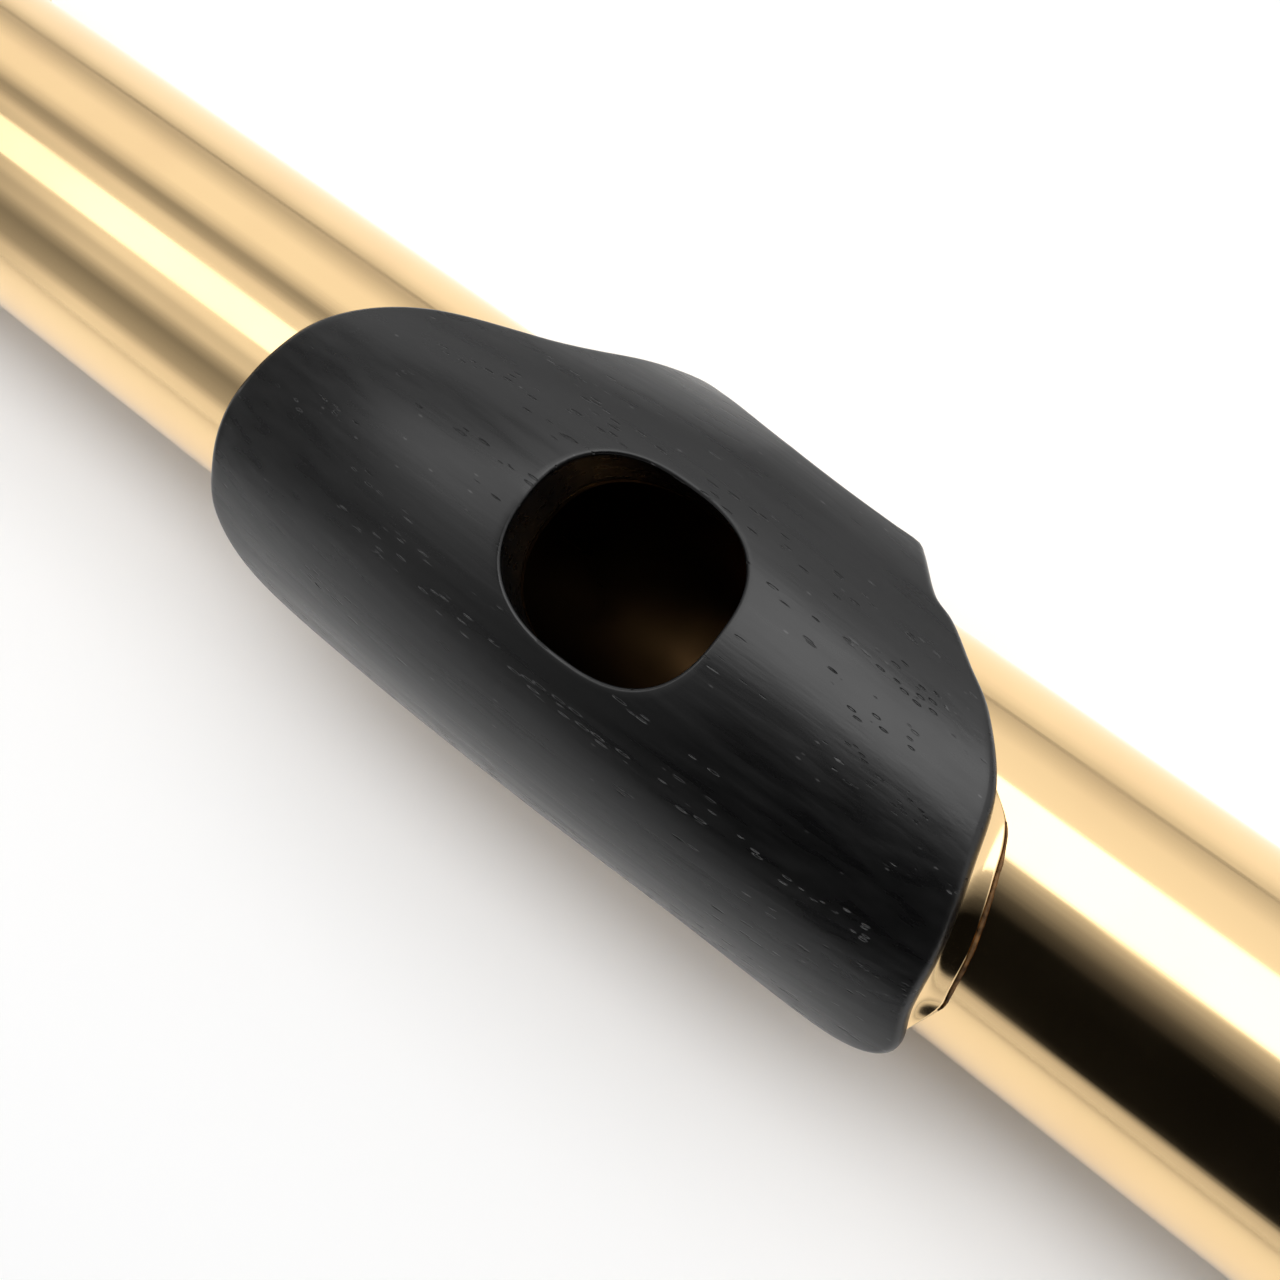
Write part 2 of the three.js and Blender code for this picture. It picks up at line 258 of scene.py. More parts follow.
def hole_point(angle, scale=1, margin=0):
    """The hole's wall in plan, at angles from +X towards the chin."""
    along = np.abs(np.cos(angle) / (HOLE_HALF_LENGTH * scale + margin))
    across = np.abs(np.sin(angle) / (HOLE_HALF_WIDTH * scale + margin))
    reach = (along ** HOLE_SQUARENESS + across ** HOLE_SQUARENESS) ** (-1 / HOLE_SQUARENESS)
    return reach * np.cos(angle), reach * np.sin(angle)


def cut(target, tool):
    """Takes tool's solid out of target's, and removes tool."""
    changed = target.modifiers.new("cut", "BOOLEAN")
    changed.operation = "DIFFERENCE"
    changed.solver = "EXACT"
    changed.object = tool
    graph = bpy.context.evaluated_depsgraph_get()
    mesh = bpy.data.meshes.new_from_object(target.evaluated_get(graph))
    target.modifiers.clear()
    target.data = mesh
    bpy.data.objects.remove(tool)


def head_tube():
    """A tapered tube up to the tenon, straight from there on, opened under the hole."""
    start, end = tube_low[0], tube_high[0]
    outer = [(x, float(tube_radius(x))) for x in (start, TENON_START, end)]
    inner = [(x, radius - TUBE_WALL) for x, radius in reversed(outer)]
    tube = turned("tube", divided(rounded(outer + inner, 0.12), 4.0))
    corners = 96
    x, y = hole_point(np.linspace(0, 2 * math.pi, corners, endpoint=False), HOLE_UNDERCUT)
    low, high = 2.0, PLATE_TOP
    levels = [
        np.stack([HOLE_X + x * size, -y * size, np.full(corners, z)], 1)
        for size, z in ((0, low), (1, low), (1, high), (0, high))
    ]
    cut(tube, ring_object("opening", levels))
    tube.data.set_sharp_from_angle(angle=math.radians(30))
    return tube


def paint_bore_shade(tube, finish):
    """Gives the bore's faces their own duller, near-black finish: painted shade inside the tube."""
    tube.data.materials.append(finish)
    for face in tube.data.polygons:
        middle = Vector((0, face.center.y, face.center.z))
        if face.normal.dot(middle) < 0:
            face.material_index = 1


# ---- The lip plate, its saddle and the riser -----------------------------------------------------


def plate_middle(turn):
    """Where the plate's middle lies along the tube, from the middle of the hole."""
    lean = np.where(turn > 0, PLATE_CHIN_LEAN, PLATE_FAR_LEAN)
    return PLATE_CENTRE + lean * (turn / math.radians(60)) ** 2


def closed_curve(points, count):
    """Evenly spaced points on a smooth closed curve: a centripetal Catmull-Rom spline."""
    before, start, end, after = [np.roll(points, shift, 0) for shift in (1, 0, -1, -2)]
    gaps = [
        np.linalg.norm(b - a, axis=1, keepdims=True) ** 0.5
        for a, b in ((before, start), (start, end), (end, after))
    ]
    first, middle, last = gaps
    leaving = middle * (
        (start - before) / first - (end - before) / (first + middle) + (end - start) / middle
    )
    arriving = middle * (
        (end - start) / middle - (after - start) / (middle + last) + (after - end) / last
    )
    samples = []
    for t in np.linspace(0, 1, 40, endpoint=False):
        samples.append(
            (2 * t ** 3 - 3 * t ** 2 + 1) * start
            + (t ** 3 - 2 * t ** 2 + t) * leaving
            + (3 * t ** 2 - 2 * t ** 3) * end
            + (t ** 3 - t ** 2) * arriving
        )
    path = np.stack(samples, 1).reshape(-1, points.shape[1])
    looped = np.concatenate([path, path[:1]])
    travel = np.concatenate([[0], np.cumsum(np.linalg.norm(np.diff(looped, axis=0), axis=1))])
    wanted = np.linspace(0, travel[-1], count, endpoint=False)
    return np.stack([np.interp(wanted, travel, column) for column in looped.T], 1)


def plate_outline():
    """The plate's edge as arrays: distance past the hole, turn, and angle round the hole."""
    flat = np.array([(along, math.radians(turn) * PLATE_TOP) for along, turn in PLATE_OUTLINE])
    curve = closed_curve(flat, AROUND_PLATE)
    turn = curve[:, 1] / PLATE_TOP
    return curve[:, 0] + plate_middle(turn), turn, np.arctan2(curve[:, 1], curve[:, 0])


edge_along, edge_turn, edge_angle = plate_outline()
plate_edge = (edge_along, edge_turn)


def saddle_outline():
    """Just inside the wood's outline, but for one far corner that shows past it."""
    corner = ease(edge_along, 8.4, 9.4) * (1 - ease(edge_along, 10.4, 12.4))
    ear = SADDLE_EAR * corner * ease(-edge_turn, math.radians(36), math.radians(44))
    return edge_along * SADDLE_INSET + ear, edge_turn * SADDLE_INSET


saddle_edge = saddle_outline()


def polar(along, turn, radius):
    """Points from their distance past the hole, their turn towards the chin, and their radius."""
    return np.stack([HOLE_X + along, -radius * np.sin(turn), radius * np.cos(turn)], 1)


def dome(along, turn):
    """1 over the hole and 0 at the plate's ends."""
    share = np.minimum(1, np.abs(along - plate_middle(turn)) / PLATE_HALF_LENGTH)
    return 1 - share ** mix(PLATE_DOME, PLATE_FAR_DOME, ease(-turn, 0, math.radians(45)))


def wrap_share(turn):
    """How far round the plate's wrap a turn lies: 0 at the top and 1 at the chin or far edge."""
    return np.abs(turn) / np.radians(np.where(turn > 0, PLATE_CHIN_TURN, PLATE_FAR_TURN))


def plate_top(along, turn):
    share = wrap_share(turn)
    middle = PLATE_TOP - np.where(turn > 0, PLATE_CHIN_DROP, PLATE_FAR_DROP) * share ** 2
    flare = np.where(turn > 0, PLATE_CHIN_FLARE, PLATE_FAR_FLARE)
    return mix(PLATE_TOP_AT_ENDS + flare * share ** 2, middle, dome(along, turn))


def plate_underside(along, turn):
    crown = PLATE_CROWN * dome(along, turn) * (1 - np.minimum(1, wrap_share(turn)) ** 2)
    return plate_top(along, turn) - PLATE_EDGE - crown


def saddle_top(along, turn):
    return plate_underside(along, turn) - GLUE_GAP


def saddle_underside(along, turn):
    return saddle_top(along, turn) - SADDLE_WALL


def on_tube(along, turn):
    return tube_radius(HOLE_X + along) + SOLDER_GAP


def skin_place(share, radius_at, edge=plate_edge, margin=0):
    """Distances and turns of one ring of a skin, a share of the way from hole to outline."""
    x, y = hole_point(edge_angle, 1, margin)
    rim_turn = np.arcsin(y / radius_at(x, y / PLATE_TOP))
    return mix(x, edge[0], share), mix(rim_turn, edge[1], share)


def skin_ring(share, radius_at, edge=plate_edge, margin=0, drop=0):
    along, turn = skin_place(share, radius_at, edge, margin)
    return polar(along, turn, radius_at(along, turn) - drop)


def wall_ring(height, foot_scale, margin, top):
    """One ring of the hole's wall: height is 0 on the tube and 1 at the ring named top."""
    scale = mix(foot_scale, 1, height)
    x, y = hole_point(edge_angle, scale, margin)
    foot = np.sqrt(on_tube(x, 0) ** 2 - y ** 2)
    return np.stack([HOLE_X + x, -y, mix(foot, top[:, 2], height)], 1)


def lip_plate():
    """The wood: hole wall, rim, top, rounded edge, hem and underside, ring by ring."""
    rim = skin_ring(0, plate_top)
    length = np.linalg.norm(skin_ring(1, plate_top) - rim, axis=1)
    rings = []
    wall_top = skin_ring(0, plate_top, drop=RIM_ROUND)
    for height in np.linspace(0, 1, 10, endpoint=False):
        rings.append(wall_ring(height, HOLE_UNDERCUT, 0, wall_top))
    for angle in np.radians(np.linspace(0, 90, 6)):
        inset = RIM_ROUND * (1 - np.cos(angle)) / length
        rings.append(skin_ring(inset, plate_top, drop=RIM_ROUND * (1 - np.sin(angle))))
    first, last = RIM_ROUND / length, 1 - PLATE_ROUND / length
    for step in range(1, ACROSS_PLATE):
        rings.append(skin_ring(mix(first, last, step / ACROSS_PLATE), plate_top))
    for angle in np.radians(np.linspace(0, 90, 8)):
        share = 1 - PLATE_ROUND * (1 - np.sin(angle)) / length
        rings.append(skin_ring(share, plate_top, drop=PLATE_ROUND * (1 - np.cos(angle))))
    hem = 0.12
    for angle in np.radians(np.linspace(0, 90, 4)):
        share = 1 - hem * (1 - np.cos(angle)) / length
        rings.append(skin_ring(share, plate_underside, drop=-hem * (1 - np.sin(angle))))
    for step in range(1, 12):
        rings.append(skin_ring(mix(last, 0, step / 12), plate_underside, margin=LINING_WALL))
    under = skin_ring(0, plate_underside, margin=LINING_WALL)
    rings.append(under)
    rings.append(wall_ring(0, 1, LINING_WALL, under))
    return ring_object("lip_plate_wood", rings)


def collar_share():
    """1 where the saddle runs down to the tube, 0 where its edge hangs free."""
    along, turn = saddle_edge
    reach = np.abs(along - PLATE_CENTRE) / PLATE_HALF_LENGTH
    at_end = ease(reach, 0.82, 0.93)
    chin_side = 1 - ease(turn, math.radians(COLLAR_TURN - 8), math.radians(COLLAR_TURN + 6))
    far_side = ease(
        turn, -math.radians(COLLAR_FAR_TURN + 8), -math.radians(COLLAR_FAR_TURN - 8)
    )
    return at_end * chin_side * far_side


def collar_ring(depth, inner=0):
    """One ring of the collar, from the saddle's edge at depth 0 to its foot at depth 1."""
    along, turn = saddle_edge
    foot = collar_share()
    top = saddle_top(along, turn)
    low = mix(top - SADDLE_WALL * 0.6, on_tube(along, turn), foot)
    flare = np.where(along > 0, COLLAR_FLARE, COLLAR_CROWN_FLARE)
    reach = mix(0.1, flare, foot) * depth ** mix(1.0, 2.2, foot) - inner * foot
    return polar(along + reach * np.sign(along), turn, mix(top, low, depth) - inner * (1 - foot))


def saddle():
    """The gold skin under the wood, whose ends run down to the tube as collars."""
    clear = LINING_WALL + RISER_WALL + 2 * GLUE_GAP
    across = np.linspace(0, 1, 16)
    top = [skin_ring(share, saddle_top, saddle_edge, clear) for share in across]
    outside = [collar_ring(depth) for depth in np.linspace(0.04, 1, 14)]
    inside = [collar_ring(depth, inner=0.12) for depth in np.linspace(1, 0.4, 6)]
    under = [
        skin_ring(share, saddle_underside, saddle_edge, clear) for share in across[-2::-1]
    ]
    return ring_object("lip_plate_saddle_sheet", top + outside + inside + under)


def riser():
    """The gold chimney round the wood's lining, from the tube up to the saddle."""
    margin = LINING_WALL + GLUE_GAP
    inner_top = skin_ring(0, saddle_top, margin=margin)
    outer_top = skin_ring(0, saddle_top, margin=margin + RISER_WALL)
    heights = np.linspace(0, 1, 6)
    inner = [wall_ring(height, 1, margin, inner_top) for height in heights]
    outer = [wall_ring(height, 1, margin + RISER_WALL, outer_top) for height in heights[::-1]]
    return ring_object("riser_wall", inner + outer)


def solder_lines():
    """The dark solder line along each collar's foot: a thin bead that thins out at its ends."""
    foot = collar_share()
    foot_ring = collar_ring(1.0)
    points, faces, corners = [], [], 6
    for side in (-1, 1):
        run = [i for i in range(AROUND_PLATE) if foot[i] > 0.7 and side * edge_along[i] > 0]
        run.sort(key=lambda i: edge_turn[i])
        start = len(points)
        for place, i in enumerate(run):
            share = place / (len(run) - 1)
            uneven = 0.6 + 0.4 * noise.noise(Vector((place * 0.35, side, 0)))
            fullness = math.sin(math.pi * min(1, 0.04 + share * 0.96)) ** 0.5
            size = SOLDER_BEAD * uneven * fullness + SOLDER_LEAST
            out = np.array([0, foot_ring[i][1], foot_ring[i][2]])
            out = out / np.linalg.norm(out)
            for corner in range(corners):
                angle = 2 * math.pi * corner / corners
                shift = np.array([side * size * math.cos(angle), 0, 0])
                points.append(foot_ring[i] + shift + out * size * 0.7 * math.sin(angle))
        for place in range(len(run) - 1):
            here = start + place * corners
            for corner in range(corners):
                after = (corner + 1) % corners
                faces.append(
                    (here + corner, here + after, here + corners + after, here + corners + corner)
                )
        faces.append([start + corner for corner in range(corners)])
        faces.append([start + (len(run) - 1) * corners + c for c in reversed(range(corners))])
    return make_object("collar_solder", points, faces)


# ---- The crown and the stopper -------------------------------------------------------------------


def bead(x, half_width, base, crest):
    """A raised ring's profile: half an ellipse."""
    angles = np.linspace(0, math.pi, 12)
    return [(x - half_width * math.cos(a), base + (crest - base) * math.sin(a)) for a in angles]


def crown_cap():
    """A hollow cap with a rounded shoulder, two beads and a plug that fits the bore."""
    rim = tube_low[0] - 0.2
    barrel, crest, flat, plug, bore = 9.0, cap_high[2], 6.6, 7.85, 7.1
    shoulder = [
        (2.6 * (1 - math.cos(a)), flat + (barrel + 0.35 - flat) * math.sin(a))
        for a in np.linspace(0, math.pi / 2, 14)
    ]
    return turned("crown_shell", [
        (0, 0),
        *shoulder,
        (2.85, barrel + 0.1),
        (3.1, barrel),
        *bead(4.4, 0.9, barrel, crest),
        *bead(rim - 1.0, 0.9, barrel, crest),
        (rim, barrel),
        (rim, plug),
        (cap_high[0] - 0.3, plug),
        (cap_high[0], plug - 0.2),
        (cap_high[0], bore),
        (2.0, bore),
        (2.0, 0),
    ])


def crown_bush():
    """The crown's nut: a flange against the cap and a narrower hub, drilled for the rod."""
    start, end, flange = bush_low[0], bush_high[0], bush_high[2]
    profile = [
        (start, ROD_BORE),
        (start, flange),
        (start + 3.2, flange),
        (start + 4, NUT_HUB),
        (end, NUT_HUB),
        (end, ROD_BORE),
    ]
    return turned("crown_nut", rounded(profile, 0.25), ROUND_NUT)


def stopper_rod():
    """A screw rod: its thread is cut from the crown's end to near the cork."""
    count, step = 48, THREAD_PITCH / 8
    low, high, radius = rod_low[0], rod_high[0], rod_high[2]
    angles = np.linspace(0, 2 * math.pi, count, endpoint=False)
    xs = np.arange(low, high, step)
    rings = [circle(low, 0, count)]
    for x in xs:
        phase = (x / THREAD_PITCH - angles / (2 * math.pi)) % 1
        groove = THREAD_DEPTH * np.abs(2 * phase - 1)
        cut_share = 1 - ease(x, back_low[0] - 3, back_low[0] - 1)
        taper = max(0.0, 0.5 - (x - low))
        rings.append(circle(x, radius - groove * cut_share - taper, count))
    rings.append(circle(high, radius, count))
    rings.append(circle(high, 0, count))
    return ring_object("stopper_screw", rings)


def stopper_back_plate():
    """The disc behind the cork, with a boss for the rod."""
    start, end, radius = back_low[0], back_high[0], back_high[2]
    shoulder = start + 1.1
    profile = [
        (start, ROD_BORE),
        (start, DISC_HUB),
        (shoulder, DISC_HUB),
        (shoulder, radius),
        (end, radius),
        (end, ROD_BORE),
    ]
    return turned("stopper_nut", rounded(profile, 0.2), ROUND_NUT)


def stopper_cork():
    """A cork with rounded edges and shallow pits where the bark is open."""
    start, end, radius = cork_low[0], cork_high[0], cork_high[2]
    corners = [(start, ROD_BORE), (start, radius), (end, radius), (end, ROD_BORE)]
    profile = divided(rounded(corners, 0.5), 0.35)
    rings = []
    for x, r in profile:
        ring = circle(x, r, 120)
        if r > radius - 0.1:
            for point in ring:
                depth = max(0, noise.noise(Vector(point) * 0.9) - 0.25)
                point[1:] *= 1 - 0.06 * depth
        rings.append(ring)
    return ring_object("stopper_cork_body", rings)


def stopper_face_plate():
    """The disc in front of the cork, where the air column ends."""
    start, end, radius = face_low[0], face_high[0], face_high[2]
    corners = [(start, 0), (start, radius), (end, radius), (end, 0)]
    return turned("stopper_disc", rounded(corners, 0.22))


# ---- Materials ---------------------------------------------------------------------------------


class Tree:
    """A node tree, built with one call for each node."""

    def __init__(self, owner):
        owner.use_nodes = True
        self.tree = owner.node_tree
        self.tree.nodes.clear()

    def add(self, kind, settings=None, **inputs):
        made = self.tree.nodes.new(kind)
        for key, value in (settings or {}).items():
            setattr(made, key, value)
        for key, value in inputs.items():
            self.put(made.inputs[key.replace("_", " ")], value)
        return made

    def put(self, socket, value):
        if isinstance(value, bpy.types.NodeSocket):
            self.tree.links.new(value, socket)
        else:
            socket.default_value = value

    def maths(self, operation, first, second=0.0):
        made = self.add("ShaderNodeMath", {"operation": operation})
        self.put(made.inputs[0], first)
        self.put(made.inputs[1], second)
        return made.outputs[0]

    def axes(self):
        """The three object coordinates, each on its own."""
        place = self.add("ShaderNodeTexCoord").outputs["Object"]
        return self.add("ShaderNodeSeparateXYZ", Vector=place).outputs

    def stretched(self, scale, turn=0.0):
        """Object coordinates, scaled along each axis."""
        place = self.add("ShaderNodeTexCoord").outputs["Object"]
        made = self.add("ShaderNodeMapping", Vector=place, Scale=scale, Rotation=(0, 0, turn))
        return made.outputs["Vector"]

    def noise(self, scale, detail=2.0, turn=0.0):
        made = self.add(
            "ShaderNodeTexNoise", Vector=self.stretched(scale, turn), Scale=1.0, Detail=detail
        )
        return made.outputs[0]

    def dashes(self, scale, fade, channel, least):
        """1 on short dashes of the grain, which fade out from their middles, and 0 elsewhere."""
        cells = self.add(
            "ShaderNodeTexVoronoi",
            {"feature": "F1"},
            Vector=self.stretched(scale, GRAIN_LEAN),
            Scale=1.0,
        )
        drawn = self.add("ShaderNodeSeparateColor", Color=cells.outputs["Color"])
        chosen = self.maths("GREATER_THAN", drawn.outputs[channel], least)
        near, far = fade
        return self.maths("MULTIPLY", self.span(cells.outputs["Distance"], near, far, 1, 0), chosen)

    def span(self, value, from_low, from_high, to_low, to_high):
        made = self.add(
            "ShaderNodeMapRange",
            Value=value,
            From_Min=from_low,
            From_Max=from_high,
            To_Min=to_low,
            To_Max=to_high,
        )
        return made.outputs[0]

    def blend(self, share, first, second):
        made = self.add("ShaderNodeMix", {"data_type": "RGBA"})
        self.put(made.inputs[0], share)
        self.put(made.inputs[6], first)
        self.put(made.inputs[7], second)
        return made.outputs[2]

    def bump(self, height, strength, distance):
        made = self.add(
            "ShaderNodeBump", Height=height, Strength=strength, Distance=distance
        )
        return made.outputs["Normal"]

    def surface(self, **inputs):
        shader = self.add("ShaderNodeBsdfPrincipled", **inputs)
        self.add("ShaderNodeOutputMaterial", Surface=shader.outputs[0])


def colour(red, green, blue):
    return (red, green, blue, 1.0)


def metal(name, bright, dull, rough, polish):
    """A polished metal: faint lengthways polishing lines, and thin smudges that dull it."""
    made = bpy.data.materials.new(name)
    tree = Tree(made)
    smudge = tree.noise((160, 160, 160), 3)
    lines = tree.noise((60, 5000, 5000), 2)
    shade = tree.blend(tree.span(smudge, 0.45, 0.75, 0, 0.35), bright, dull)
    dulled = tree.span(smudge, 0.35, 0.75, rough * 0.8, rough * 1.5)
    roughness = tree.maths("ADD", dulled, tree.span(lines, 0.3, 0.7, 0, 0.02))
    tree.surface(
        Base_Color=shade,
        Metallic=1.0,
        Roughness=roughness,
        Normal=tree.bump(lines, polish, 0.00002),
    )
    return made


GRAIN_LEAN = math.radians(-3)    # how far the wood's grain turns from the tube's axis


def wood():
    """Oiled grenadilla: near-black, satin, with fine grain and open pores along the tube."""
    made = bpy.data.materials.new("grenadilla")
    tree = Tree(made)
    grain = tree.noise((90, 1500, 1500), 4, GRAIN_LEAN)
    shade = tree.blend(
        tree.span(grain, 0.3, 0.75, 0, 1),
        colour(0.002, 0.002, 0.0021),
        colour(0.006, 0.0059, 0.006),
    )
    # A few pale flecks lie in the grain.
    fleck = tree.dashes((900, 3600, 3600), (0.08, 0.2), 1, 0.93)
    shade = tree.blend(tree.maths("MULTIPLY", fleck, 0.5), shade, colour(0.09, 0.088, 0.088))
    # Pores lie end to end in long rows, some rows filled and some bare, and some wood has none.
    pore = tree.dashes((650, 4800, 4800), (0.2, 0.32), 0, 0.35)
    rows = tree.span(tree.noise((18, 800, 800), 1, GRAIN_LEAN), 0.56, 0.6, 0, 1)
    streaks = tree.span(tree.noise((25, 170, 170), 2, GRAIN_LEAN), 0.4, 0.5, 0, 1)
    pore = tree.maths("MULTIPLY", pore, tree.maths("MULTIPLY", rows, streaks))
    shade = tree.blend(pore, shade, colour(0.001, 0.001, 0.001))
    height = tree.maths("SUBTRACT", tree.maths("MULTIPLY", grain, 0.25), pore)
    tree.surface(
        Base_Color=shade,
        Roughness=tree.span(grain, 0.3, 0.75, 0.25, 0.35),
        Specular_IOR_Level=0.55,
        Normal=tree.bump(height, 0.8, 0.00009),
    )
    return made


def bark():
    """Cork: pale brown granules with dark pits."""
    made = bpy.data.materials.new("cork")
    tree = Tree(made)
    grains = tree.add("ShaderNodeTexVoronoi", Vector=tree.stretched((900, 900, 900)), Scale=1.0)
    pits = tree.span(tree.noise((500, 500, 500), 3), 0.56, 0.66, 0, 1)
    shade = tree.blend(
        grains.outputs["Distance"], colour(0.30, 0.17, 0.075), colour(0.52, 0.33, 0.17)
    )
    shade = tree.blend(pits, shade, colour(0.12, 0.055, 0.022))
    tree.surface(
        Base_Color=shade,
        Roughness=tree.span(pits, 0, 1, 0.8, 0.95),
        Normal=tree.bump(pits, 0.5, -0.0002),
    )
    return made


def tarnish():
    """The solder line: dull brown metal."""
    made = bpy.data.materials.new("solder")
    tree = Tree(made)
    blotch = tree.noise((1500, 1500, 1500), 3)
    shade = tree.blend(
        tree.span(blotch, 0.35, 0.65, 0, 1), colour(0.02, 0.009, 0.004), colour(0.28, 0.15, 0.06)
    )
    tree.surface(Base_Color=shade, Metallic=0.6, Roughness=tree.span(blotch, 0, 1, 0.45, 0.8))
    return made


# ---- Stage -------------------------------------------------------------------------------------

FLOOR_REACH = 6000
TENT_RADIUS = 330
TENT_SPREAD = 100                # degrees that the tent reaches down on each side
TENT_BLEND = (-0.11, 0.05)       # metres along the tube, from the crown's side to the tenon's
TENT_POINTS = 61                 # points round its curve

# How much light the tent lets through: degrees from straight up towards +Y, share.
CROWN_SIDE = [
    (-100, 0.95), (-80, 0.85), (-70, 0.4), (-52, 0.22), (-45, 0.4), (-38, 0.72), (-30, 0.65),
    (-24, 0.95), (18, 0.85), (24, 0.45), (31, 0.3), (38, 0.7), (47, 1.0), (63, 1.0), (74, 0.75),
    (84, 0.55), (100, 0.6),
]
TENON_SIDE = [
    (-100, 0.9), (-82, 0.6), (-77, 0.006), (-26, 0.004), (-15, 0.07), (-5, 0.3), (2, 0.55),
    (8, 1.0), (52, 1.0), (68, 0.95), (78, 0.75), (88, 0.58), (100, 0.62),
]


def ramp(tree, share, stops):
    """Grey values at the stops' angles, blended between them."""
    made = tree.add("ShaderNodeValToRGB", Fac=share)
    elements = made.color_ramp.elements
    while len(elements) < len(stops):
        elements.new(0.5)
    low, high = stops[0][0], stops[-1][0]
    for element, (angle, value) in zip(elements, stops):
        element.position = (angle - low) / (high - low)
        element.color = (value, value, value, 1)
    return made.outputs[0]


def light_tent():
    """Half a cylinder of cloth over the tube that dims the room's light, band by band."""
    spread = math.radians(TENT_SPREAD)
    angles = np.linspace(-spread, spread, TENT_POINTS)
    points = [
        (x, TENT_RADIUS * math.sin(a), TENT_RADIUS * math.cos(a))
        for x in (-FLOOR_REACH, FLOOR_REACH)
        for a in angles
    ]
    count = TENT_POINTS
    faces = [(i, i + 1, count + i + 1, count + i) for i in range(count - 1)]
    mesh = bpy.data.meshes.new("light_tent")
    mesh.from_pydata((np.array(points) * MM).tolist(), [], faces)
    made = bpy.data.objects.new("light_tent", mesh)
    bpy.context.scene.collection.objects.link(made)
    cloth = bpy.data.materials.new("tent_cloth")
    tree = Tree(cloth)
    along, across, up = tree.axes()
    angle = tree.maths("ARCTAN2", across, up)
    share = tree.span(angle, -spread, spread, 0, 1)
    side = tree.span(along, *TENT_BLEND, 0, 1)
    shade = tree.blend(side, ramp(tree, share, CROWN_SIDE), ramp(tree, share, TENON_SIDE))
    # Past the crown, the chin side of the tent is darker still.
    chin_side = tree.span(angle, math.radians(5), math.radians(25), 1, 0)
    past_crown = tree.maths("MULTIPLY", chin_side, tree.span(along, -0.3, -0.2, 1, 0))
    shade = tree.blend(past_crown, shade, colour(0.2, 0.2, 0.2))
    shader = tree.add("ShaderNodeBsdfTransparent", Color=shade)
    tree.add("ShaderNodeOutputMaterial", Surface=shader.outputs[0])
    mesh.materials.append(cloth)
    made.visible_camera = False


def floor():
    """A pale board under the tube, palest on the chin side, with painted shade towards +Y."""
    mesh = bpy.data.meshes.new("floor")
    corners = [
        (x * FLOOR_REACH, y * FLOOR_REACH, tube_low[2])
        for x, y in ((-1, -1), (1, -1), (1, 1), (-1, 1))
    ]
    mesh.from_pydata((np.array(corners) * MM).tolist(), [], [(0, 1, 2, 3)])
    made = bpy.data.objects.new("floor", mesh)
    bpy.context.scene.collection.objects.link(made)
    board = bpy.data.materials.new("floor_board_painted_shade")
    tree = Tree(board)
    across = tree.axes()[1]
    fall = tree.maths("ADD", across, tree.span(tree.noise((6, 6, 6)), 0, 1, -0.005, 0.005))
    # Painted shade: the board's colour darkens towards +Y to even out the key light falling on that
    # side.
    near = tree.span(fall, -0.02, 0.06, 0.95, 0.8)
    shade = tree.maths("MULTIPLY", near, tree.span(fall, 0.05, 0.13, 1, 0.72))
    tree.surface(Base_Color=shade, Roughness=0.9, Specular_IOR_Level=0.1)
    mesh.materials.append(board)


def area_light(name, place, aim, size, power):
    """A soft light: its place and aim in millimetres, its size in metres and its power in watts."""
    data = bpy.data.lights.new(name, "AREA")
    data.shape = "RECTANGLE"
    data.size, data.size_y = size
    data.energy = power
    made = bpy.data.objects.new(name, data)
    bpy.context.scene.collection.objects.link(made)
    made.location = Vector(place) * MM
    made.rotation_euler = ((Vector(place) - Vector(aim)) * MM).to_track_quat("Z", "Y").to_euler()
    made.visible_camera = False
    return made


def lights():
    area_light("crown_side_light", (-165, -25, 300), (-165, -25, 0), (0.17, 0.13), 0.075)
    area_light("key_light", (120, 380, 700), (120, 380, 0), (0.9, 0.64), 2.9)
    fill = area_light("fill_light", (20, 30, 300), (20, 30, 0), (0.6, 0.2), 0.5)
    fill.visible_glossy = False
    world = bpy.data.worlds.new("studio")
    tree = Tree(world)
    sky = tree.add("ShaderNodeBackground", Color=colour(1.0, 1.0, 1.0), Strength=1.0)
    tree.add("ShaderNodeOutputWorld", Surface=sky.outputs[0])
    bpy.context.scene.world = world
    bpy.context.scene.view_settings.view_transform = "Standard"


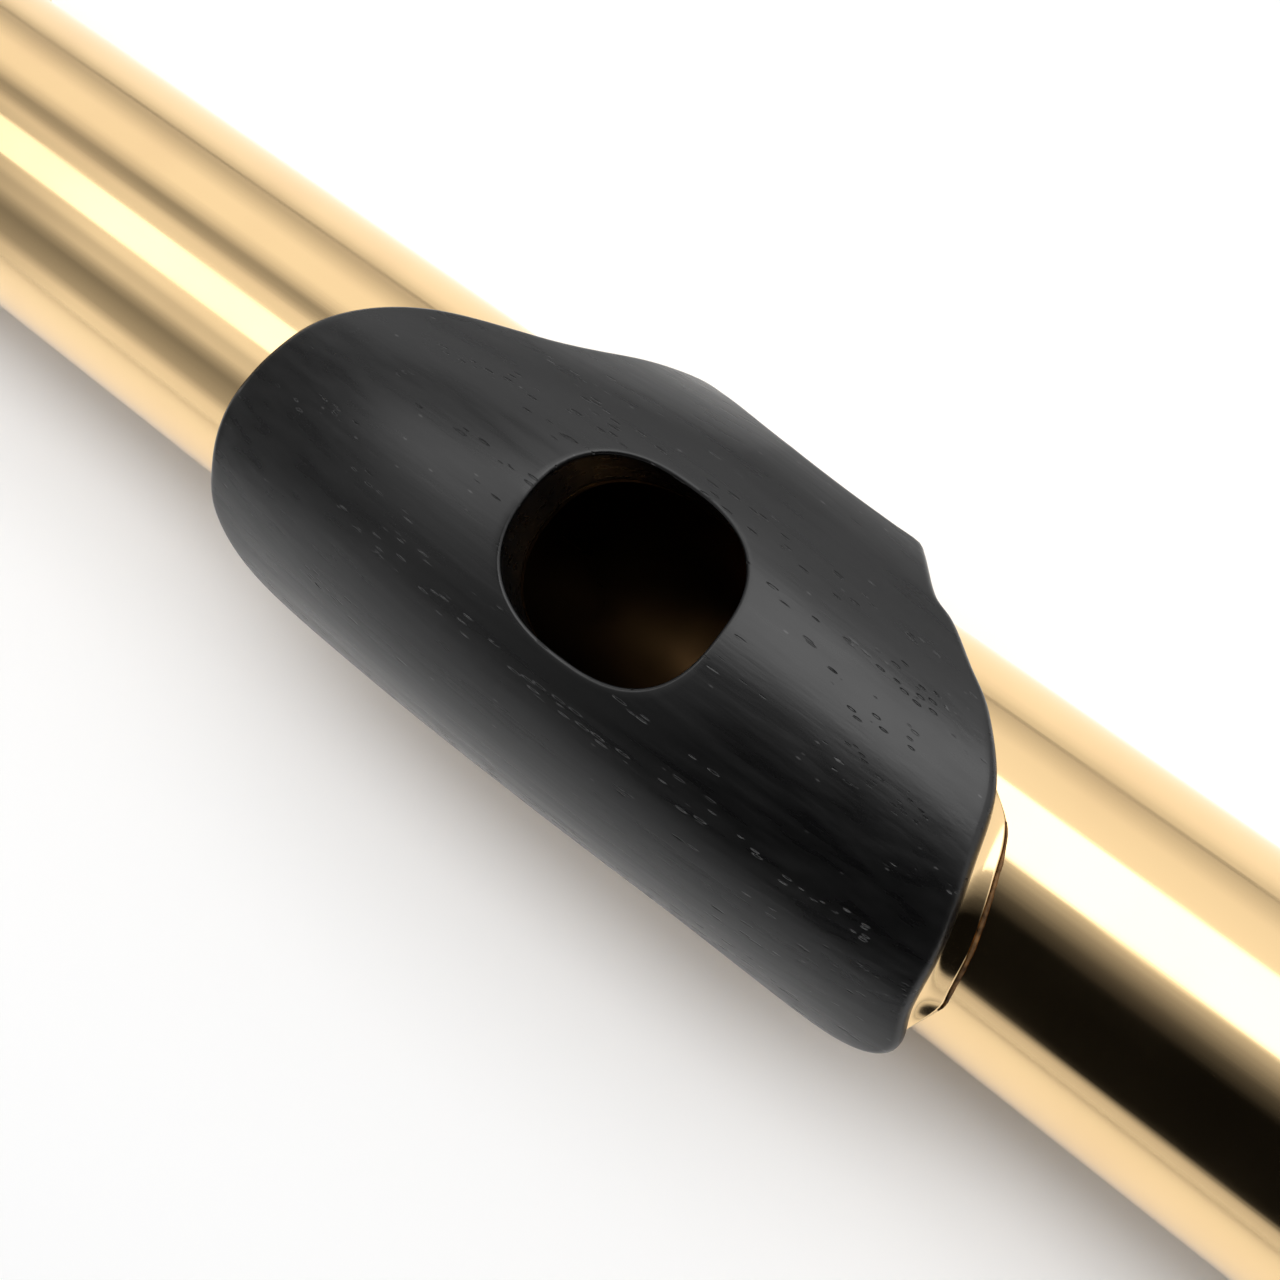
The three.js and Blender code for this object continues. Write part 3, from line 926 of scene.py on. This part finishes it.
CAMERA_PLACE = (103.16, -7.22, 104.84)
CAMERA_AIM = (74.55, -2.19, 12.0)
CAMERA_ROLL = -42.84
CAMERA_LENS = 56.25              # millimetres, on a sensor 36 mm wide


def camera():
    data = bpy.data.cameras.new("camera")
    data.sensor_width = 36
    data.lens = CAMERA_LENS
    data.clip_start = 0.005
    made = bpy.data.objects.new("camera", data)
    bpy.context.scene.collection.objects.link(made)
    facing = (Vector(CAMERA_AIM) - Vector(CAMERA_PLACE)).to_track_quat("-Z", "Y").to_matrix()
    turn = facing @ Matrix.Rotation(math.radians(CAMERA_ROLL), 3, "Z")
    made.matrix_world = Matrix.Translation(Vector(CAMERA_PLACE) * MM) @ turn.to_4x4()
    bpy.context.scene.camera = made


# ---- Assembly ----------------------------------------------------------------------------------


def assemble(piece, body, node, finish):
    """The piece rides on a body, stands for a CAD node, and takes the finish it is given."""
    piece.data.materials.clear()
    piece.data.materials.append(finish)
    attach(piece, body)
    if node:
        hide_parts(node)


gold = metal("gold", colour(0.98, 0.70, 0.37), colour(0.90, 0.62, 0.33), 0.09, 0.05)
# Painted shade: the bore's gold is near-black brown, standing in for the shade inside the tube.
bore_gold_painted_shade = metal("bore_gold_painted_shade", colour(0.10, 0.055, 0.022), colour(0.05, 0.028, 0.012), 0.32, 0.1)
brass = metal("brass", colour(0.78, 0.58, 0.26), colour(0.55, 0.38, 0.16), 0.28, 0.3)
grenadilla = wood()
cork_bark = bark()
solder = tarnish()

tube = head_tube()
assemble(tube, "tube", "head_tube", gold)
paint_bore_shade(tube, bore_gold_painted_shade)
assemble(lip_plate(), "tube", "lip_plate", grenadilla)
assemble(saddle(), "tube", "lip_plate_saddle", gold)
assemble(riser(), "tube", "riser", gold)
assemble(solder_lines(), "tube", None, solder)
assemble(crown_cap(), "crown", "crown_cap", gold)
assemble(crown_bush(), "crown", "crown_bush", brass)
assemble(stopper_rod(), "stopper", "stopper_rod", brass)
assemble(stopper_back_plate(), "stopper", "stopper_back_plate", brass)
assemble(stopper_cork(), "stopper", "stopper_cork", cork_bark)
assemble(stopper_face_plate(), "stopper", "stopper_face_plate", gold)

floor()
light_tent()
lights()
camera()
